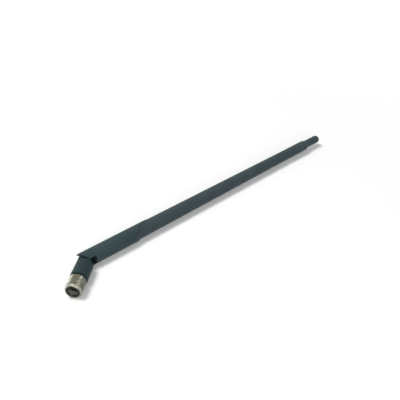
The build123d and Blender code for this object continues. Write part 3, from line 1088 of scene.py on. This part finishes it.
    def _thread(self) -> bpy.types.Object:
        """Runs the thread's ridge round the bore, fading at both ends.

        Returns:
            The ridge.
        """
        recipe = Recipe("nut_thread_ridge")
        bench = recipe.bench
        radius = recipe.size("Root radius", self.thread_radius * MM)
        depth = recipe.size("Depth", (self.thread_radius - self.thread_crest) * MM)
        pitch = recipe.size("Pitch", self.thread_pitch * MM)
        turns = recipe.size("Turns", self.thread_turns)
        reverse = recipe.size("Left hand", self.hand.value)
        path = bench.node(
            "GeometryNodeCurveSpiral",
            inputs={
                "Resolution": self.thread_steps,
                "Rotations": turns,
                "Start Radius": radius,
                "End Radius": radius,
                "Height": pitch * turns,
                "Reverse": reverse,
            },
        )
        upright = bench.node("GeometryNodeSetCurveNormal", {"mode": "Z_UP"}, {"Curve": path})
        ridge = bench.node(
            "GeometryNodeCurvePrimitiveCircle",
            inputs={"Resolution": self.thread_sides, "Radius": depth},
        )
        share = bench.node("GeometryNodeSplineParameter").other("Factor")
        fade = (share * self.thread_fade).smaller((1.0 - share) * self.thread_fade).smaller(1.0)
        swept = bench.node(
            "GeometryNodeCurveToMesh",
            inputs={
                "Curve": upright,
                "Profile Curve": ridge,
                "Scale": fade + self.thread_tail,
                "Fill Caps": True,
            },
        )
        recipe.finish(swept, Finishes.nut)
        place = Matrix.Translation((0, (self.mouth + self.thread_setback) * MM, 0)) @ ALONG_Y
        return recipe.make("nut_thread", place, Finishes.nut, self.thread_crease)


@dataclass(frozen=True)
class Braid:
    """Sleeve of strands that cross over and under each other; sizes in millimetres."""

    radius: float
    length: float
    strand_radius: float
    strands: int
    turns: float
    weave_lift: float = 0.55
    steps: int = 60
    sides: int = 6
    crease: float = 60.0

    def build(self, name: str, place: Matrix) -> bpy.types.Object:
        """Lays the strands both ways round and puts them in place.

        Args:
            name: the piece's name.
            place: where the braid starts; it runs along the place's own +Y.

        Returns:
            The braid.
        """
        recipe = Recipe(name + "_braid")
        bench = recipe.bench
        radius = recipe.size("Radius", self.radius * MM)
        length = recipe.size("Length", self.length * MM)
        strand = recipe.size("Strand radius", self.strand_radius * MM)
        turns = recipe.size("Turns", self.turns)
        number = recipe.size("Strands", self.strands)
        ways = [self._one_way(recipe, (radius, length, strand, turns, number), hand) for hand in Hand]
        joined = bench.node("GeometryNodeJoinGeometry", inputs={"Geometry": ways})
        recipe.finish(joined, Finishes.braid)
        return recipe.make(name, place @ ALONG_Y, Finishes.braid, self.crease)

    def _one_way(self, recipe: Recipe, sizes: tuple[Signal, ...], hand: Hand) -> Signal:
        """Lays the strands of one hand, each raised where it crosses over.

        Args:
            recipe: the braid's tree.
            sizes: the radius, length, strand radius, turns and number of strands.
            hand: which way the strands turn.

        Returns:
            The strands of that hand.
        """
        bench = recipe.bench
        radius, length, strand, turns, number = sizes
        path = bench.node(
            "GeometryNodeCurveSpiral",
            inputs={
                "Resolution": self.steps,
                "Rotations": turns,
                "Start Radius": radius,
                "End Radius": radius,
                "Height": length,
                "Reverse": hand.value,
            },
        )
        share = bench.node("GeometryNodeSplineParameter").other("Factor")
        phase = share * turns * number * (2 * math.pi) + (math.pi if hand is Hand.LEFT else 0.0)
        lift = phase.sin() * self.weave_lift * strand / radius
        x, y, _ = bench.parts(bench.node("GeometryNodeInputPosition"))
        woven = bench.node(
            "GeometryNodeSetPosition",
            inputs={"Geometry": path, "Offset": bench.vector(x * lift, y * lift, 0.0)},
        )
        wire = bench.node(
            "GeometryNodeCurvePrimitiveCircle",
            inputs={"Resolution": self.sides, "Radius": strand},
        )
        swept = bench.node(
            "GeometryNodeCurveToMesh",
            inputs={"Curve": woven, "Profile Curve": wire, "Fill Caps": True},
        )
        points = bench.node("GeometryNodePoints", inputs={"Count": number})
        index = bench.node("GeometryNodeInputIndex")
        turn = bench.node(
            "FunctionNodeEulerToRotation",
            inputs={"Euler": bench.vector(0.0, 0.0, index * (2 * math.pi) / number)},
        )
        return bench.node(
            "GeometryNodeInstanceOnPoints",
            inputs={"Points": points, "Instance": swept, "Rotation": turn},
        )


@dataclass
class ConnectorPlug(Assembly):
    """Turned plug with its contact, insulator and spring rings; sizes in millimetres."""

    finishes: ClassVar[dict[str, Finish]] = {
        "connector_body": Finishes.barrel,
        "contact_insulator": Finishes.contact_seat,
        "centre_contact": Finishes.gold,
        "nut_retaining_ring": Finishes.steel,
        "swivel_ring": Finishes.steel,
        "sealing_gasket": Finishes.gasket,
        "crimp_ferrule": Finishes.ferrule,
    }
    braid_start: float = 12.06
    braid: Braid = Braid(radius=1.64, length=2.6, strand_radius=0.09, strands=14, turns=0.6)

    def build(self) -> list[bpy.types.Object]:
        """Dresses the plug's nodes and lays the crimped braid.

        Returns:
            The nodes and the braid.
        """
        dressed = super().build()
        place = Matrix.Translation((0, self.braid_start * MM, 0))
        braid = self.braid.build("crimped_strands", place)
        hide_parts("crimped_braid")
        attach(braid, Body.CONNECTOR.value)
        return [*dressed, braid]


@dataclass
class Elbow(Assembly):
    """Knuckle and hinge housing."""

    finishes: ClassVar[dict[str, Finish]] = {
        "knuckle": Finishes.knuckle,
        "hinge_housing": Finishes.housing,
    }


@dataclass
class Lead:
    """Coaxial lead from the plug's ferrule through the elbow to the sleeve; sizes in millimetres."""

    jacket_radius: float = 0.9
    start: float = 14.78
    bend_reach: float = 4.0
    jacket_end: float = 55.7
    jacket_steps: int = 24
    jacket_sides: int = 6
    jacket_crease: float = 50.0
    braid: Braid = Braid(radius=0.63, length=5.1, strand_radius=0.06, strands=12, turns=1.4)
    braid_lap: float = 0.1
    dielectric_lap: float = 0.2
    core_lap: float = 0.3
    dielectric_radius: float = 0.43
    dielectric_end: float = 62.3
    core_radius: float = 0.155
    core_end: float = 63.3
    blend_reach: float = 3.2
    rod_ease: float = 0.3
    rod_segments: int = 24
    axis_room: float = 0.001

    def build(self) -> list[bpy.types.Object]:
        """Makes the jacket, with its fixed bend through the elbow, and the stripped end.

        Returns:
            The jacket, the braid, the dielectric and the core.
        """
        jacket = self._jacket()
        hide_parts("coax_lead")
        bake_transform(jacket)
        stripped = Matrix.Translation((0, (self.jacket_end - self.braid_lap) * MM, 0))
        braid = self.braid.build("lead_strands", WHIP.matrix @ stripped)
        dielectric = self._rod(
            "lead_dielectric",
            self.dielectric_radius,
            self.jacket_end - self.dielectric_lap,
            self.dielectric_end,
            Finishes.insulator,
        )
        core = self._rod(
            "lead_core",
            self.core_radius,
            self.dielectric_end - self.core_lap,
            self.core_end,
            Finishes.copper,
        )
        for piece in (braid, dielectric, core):
            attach(piece, Body.WHIP.value)
        return [jacket, braid, dielectric, core]

    def _jacket(self) -> bpy.types.Object:
        """Runs the jacket along a smooth line through the elbow.

        Returns:
            The jacket.
        """
        knee = WHIP.pivot
        points = [
            Vector((0, self.start * MM, 0)),
            knee - Vector((0, self.bend_reach * MM, 0)),
            knee,
            knee + WHIP.along * self.bend_reach * MM,
            knee + WHIP.along * self.jacket_end * MM,
        ]
        curve = bpy.data.curves.new("lead_jacket_line", "CURVE")
        curve.dimensions = "3D"
        curve.resolution_u = self.jacket_steps
        curve.bevel_depth = self.jacket_radius * MM
        curve.bevel_resolution = self.jacket_sides
        curve.use_fill_caps = True
        spline = curve.splines.new("NURBS")
        spline.points.add(len(points) - 1)
        for control, point in zip(spline.points, points):
            control.co = (*point, 1.0)
        spline.order_u = 3
        spline.use_endpoint_u = True
        holder = bpy.data.objects.new("lead_jacket_holder", curve)
        bpy.context.scene.collection.objects.link(holder)
        mesh = plain_mesh(holder, "lead_jacket")
        shaded(mesh, self.jacket_crease)
        return piece_of("lead_jacket", mesh, Finishes.jacket)

    def _rod(
        self, name: str, radius: float, start: float, end: float, finish: Finish
    ) -> bpy.types.Object:
        """Turns a thin rod with eased ends on the whip's axis.

        Args:
            name: the piece's name.
            radius: the rod's radius in millimetres.
            start: where it starts along the whip, in millimetres.
            end: where it ends along the whip, in millimetres.
            finish: the piece's finish.

        Returns:
            The rod.
        """
        ease = radius * self.rod_ease
        outline = [
            Corner(self.axis_room, start),
            Corner(radius, start, ease),
            Corner(radius, end, ease),
            Corner(self.axis_room, end),
        ]
        rod = turned(name, eased(outline), finish, self.rod_segments)
        rod.data.transform(WHIP.matrix)
        return rod


@dataclass
class Radiator(Assembly):
    """What stands inside the sheath: sleeve, wire, spacers and cushion."""

    finishes: ClassVar[dict[str, Finish]] = {
        "sleeve_radiator": Finishes.brass,
        "sleeve_bush": Finishes.insulator,
        "braid_solder": Finishes.solder,
        "feed_solder": Finishes.solder,
        "feed_shrink": Finishes.shrink,
        "radiator_wire": Finishes.copper,
        "phasing_card": Finishes.card,
        "wire_spacer_lower": Finishes.insulator,
        "wire_spacer_middle": Finishes.insulator,
        "wire_spacer_upper": Finishes.insulator,
        "tip_cushion": Finishes.foam,
    }


@dataclass
class Sheath(Assembly):
    """Tapered radome over the radiator."""

    finishes: ClassVar[dict[str, Finish]] = {"radome_sheath": Finishes.sheath}


@dataclass(frozen=True)
class Lamp:
    """Square lamp: its place from the middle of the object, its side in metres and its watts."""

    name: str
    offset: Triple
    side: float
    power: float

    def hang(self, middle: Vector) -> None:
        """Hangs the lamp so that it faces the object.

        Args:
            middle: the middle of the object.
        """
        lamp = bpy.data.lights.new(self.name, "AREA")
        lamp.shape = "SQUARE"
        lamp.size = self.side
        lamp.energy = self.power
        holder = bpy.data.objects.new(self.name, lamp)
        away = Vector(self.offset)
        holder.location = middle + away
        holder.rotation_mode = "QUATERNION"
        holder.rotation_quaternion = (-away).to_track_quat("-Z", "Y")
        bpy.context.scene.collection.objects.link(holder)


@dataclass
class Studio:
    """Floor, sky, lamps and the photograph's camera; lengths in metres, focal length in pixels."""

    azimuth: float = 9.25
    elevation: float = 36.06
    camera_offset: Triple = (0.11242, -0.28734, 0.26126)
    focal: float = 688.7
    frame_width: float = 400.0
    sensor_width: float = 36.0
    clip: Span = (0.01, 20.0)
    floor_colour: Colour = (0.95, 0.95, 0.95)
    floor_reach: float = 3.0
    sky_level: float = 0.3
    lamps: tuple[Lamp, ...] = (
        Lamp("key_lamp", (-0.75, -0.07, 1.76), 0.66, 22.0),
        Lamp("fill_lamp", (0.20, -1.70, 0.47), 1.20, 12.6),
    )

    def build(self) -> None:
        """Makes the stage, the lamps and the camera."""
        scene = bpy.context.scene
        scene.view_settings.view_transform = "Standard"
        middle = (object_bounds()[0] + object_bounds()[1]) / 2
        self._floor(middle)
        self._sky(scene)
        for lamp in self.lamps:
            lamp.hang(middle)
        self._camera(scene)

    def _floor(self, middle: Vector) -> None:
        """Lays the floor under the object's lowest point.

        Args:
            middle: the middle of the object.
        """
        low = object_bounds()[0].z
        work = bmesh.new()
        bmesh.ops.create_grid(work, x_segments=1, y_segments=1, size=self.floor_reach)
        mesh = bpy.data.meshes.new("floor")
        work.to_mesh(mesh)
        work.free()
        mesh.transform(Matrix.Translation((middle.x, middle.y, low)))
        card = StudioFloor("floor_card", self.floor_colour)
        piece_of("floor", mesh, card)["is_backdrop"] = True

    def _sky(self, scene: bpy.types.Scene) -> None:
        """Fills the world with soft light that the camera and reflections see as white.

        Args:
            scene: the scene that takes the world.
        """
        world = bpy.data.worlds.new("studio_sky")
        world.use_nodes = True
        world.node_tree.nodes.clear()
        bench = NodeBench(world.node_tree)
        strength = bench.seen() * (1.0 - self.sky_level) + self.sky_level
        sky = bench.node(
            "ShaderNodeBackground", inputs={"Color": (1.0, 1.0, 1.0), "Strength": strength}
        )
        bench.node("ShaderNodeOutputWorld", inputs={"Surface": sky})
        scene.world = world

    def _camera(self, scene: bpy.types.Scene) -> None:
        """Puts the camera where the photograph's was.

        Args:
            scene: the scene that takes the camera.
        """
        turn, lift = math.radians(self.azimuth), math.radians(self.elevation)
        right = Vector((math.cos(turn), math.sin(turn), 0.0))
        back = Vector(
            (math.sin(turn) * math.cos(lift), -math.cos(turn) * math.cos(lift), math.sin(lift))
        )
        up = back.cross(right)
        camera = bpy.data.cameras.new("photo_camera")
        camera.sensor_width = self.sensor_width
        camera.lens = self.sensor_width * self.focal / self.frame_width
        camera.clip_start, camera.clip_end = self.clip
        holder = bpy.data.objects.new("photo_camera", camera)
        axes = Matrix((right, up, back)).transposed().to_4x4()
        holder.matrix_world = Matrix.Translation(WHIP.pivot + Vector(self.camera_offset)) @ axes
        scene.collection.objects.link(holder)
        scene.camera = holder


def main() -> None:
    """Builds every sub-assembly, then the studio."""
    logging.basicConfig(level=logging.INFO, format="%(name)s: %(message)s")
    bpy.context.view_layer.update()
    assemblies = (ConnectorPlug(), CouplingNut(), Elbow(), Lead(), Radiator(), Sheath())
    for assembly in assemblies:
        for piece in assembly.build():
            LOG.info("%s: %d faces", piece.name, len(piece.data.polygons))
    Studio().build()


if __name__ == "__main__":
    main()
